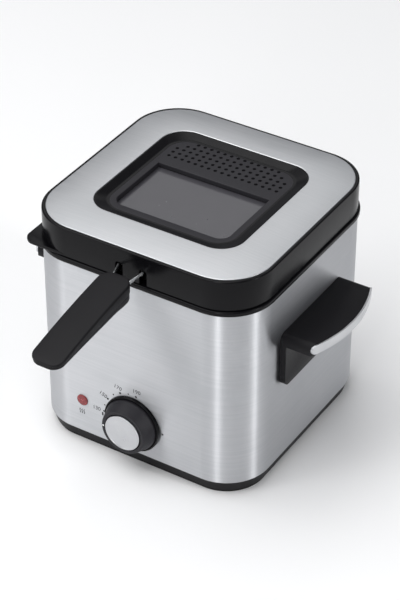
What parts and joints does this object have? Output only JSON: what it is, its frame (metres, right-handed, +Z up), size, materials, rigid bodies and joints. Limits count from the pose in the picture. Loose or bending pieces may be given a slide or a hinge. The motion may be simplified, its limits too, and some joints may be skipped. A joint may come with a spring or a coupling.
{
  "type": "deep fryer",
  "caption": "Compact square deep fryer with a lift-off lid, viewing window, removable basket on a wire handle, side handles and a dial thermostat.",
  "frame": {"origin": "on the ground, under the middle of the body", "axes": "+Z up, front with the dial towards -Y, +X to the object's left as it faces forward (right in a front view)"},
  "size_m": [0.268, 0.3075, 0.2015],
  "materials": {
    "brushed_casing": "brushed horizontally",
    "brushed_lid": "brushed",
    "sheet_steel": "plain sheet",
    "zinc_screw": "zinc plated",
    "wire_steel": "bright wire",
    "black_plastic": "fine satin grain",
    "black_gloss": "satin gloss",
    "bezel_plastic": "fine satin grain",
    "pot_coating": "non-stick coating",
    "cast_aluminium": "cast, sanded",
    "heater_sheath": "heat tinted",
    "copper": "drawn tube",
    "ceramic": "glazed",
    "lead_sleeve": "silicone sleeve",
    "black_rubber": "moulded",
    "silver_trim": "satin",
    "lens_red": "moulded lens",
    "white_mark": "white fill",
    "pane": "smoked",
    "filter": "felted",
    "seal_grey": "silicone"
  },
  "bodies": {
    "body": {"outer_casing": "brushed_casing", "base_tray": "black_plastic", "front_skid": "black_rubber", "rear_skid": "black_rubber", "casing_brackets": "sheet_steel", "base_screws": "zinc_screw", "rim_collar": "black_plastic", "oil_pot": "pot_coating", "pot_studs": "zinc_screw", "stud_nuts": "zinc_screw", "heater_plate": "cast_aluminium", "heater_ring": "heater_sheath", "clamp_cross": "sheet_steel", "heat_shield": "sheet_steel", "thermostat": "ceramic", "thermostat_bracket": "sheet_steel", "capillary": "copper", "thermostat_bulb": "copper", "thermal_fuse": "ceramic", "terminal_block": "ceramic", "internal_leads": "lead_sleeve", "cord_grommet": "black_rubber", "dial_bezel": "black_gloss", "lamp_lens": "lens_red", "lamp_holder": "ceramic", "right_handle": "black_plastic", "left_handle": "black_plastic", "right_trim": "silver_trim", "left_trim": "silver_trim", "handle_screws": "zinc_screw"},
    "basket": {"basket_tub": "wire_steel", "basket_rim": "wire_steel", "basket_bracket": "sheet_steel", "handle_prongs": "wire_steel", "grip_upper": "black_plastic", "grip_lower": "black_plastic", "grip_screws": "zinc_screw"},
    "lid": {"lid_frame": "black_gloss", "lid_plate": "brushed_lid", "window_bezel": "bezel_plastic", "window_glass": "pane", "window_seal": "black_rubber", "filter_mat": "filter", "lid_liner": "sheet_steel", "liner_screws": "zinc_screw", "lid_seal": "seal_grey"},
    "control_knob": {"knob_body": "black_gloss", "knob_cap": "silver_trim", "knob_pointer": "white_mark", "thermostat_shaft": "zinc_screw", "shaft_clip": "zinc_screw"}
  },
  "joints": [
    {"name": "basket_lift", "type": "slide", "parent": "body", "child": "basket", "axis": [0, 0, 1], "range_m": [0, 0.14]},
    {"name": "lid_lift", "type": "slide", "parent": "basket", "child": "lid", "axis": [0, 0, 1], "range_m": [0, 0.15]},
    {"name": "knob_turn", "type": "hinge", "parent": "body", "child": "control_knob", "pos_m": [-0.0015, -0.105, 0.04], "axis": [0, 1, 0], "range_deg": [-180, 97]}
  ]
}
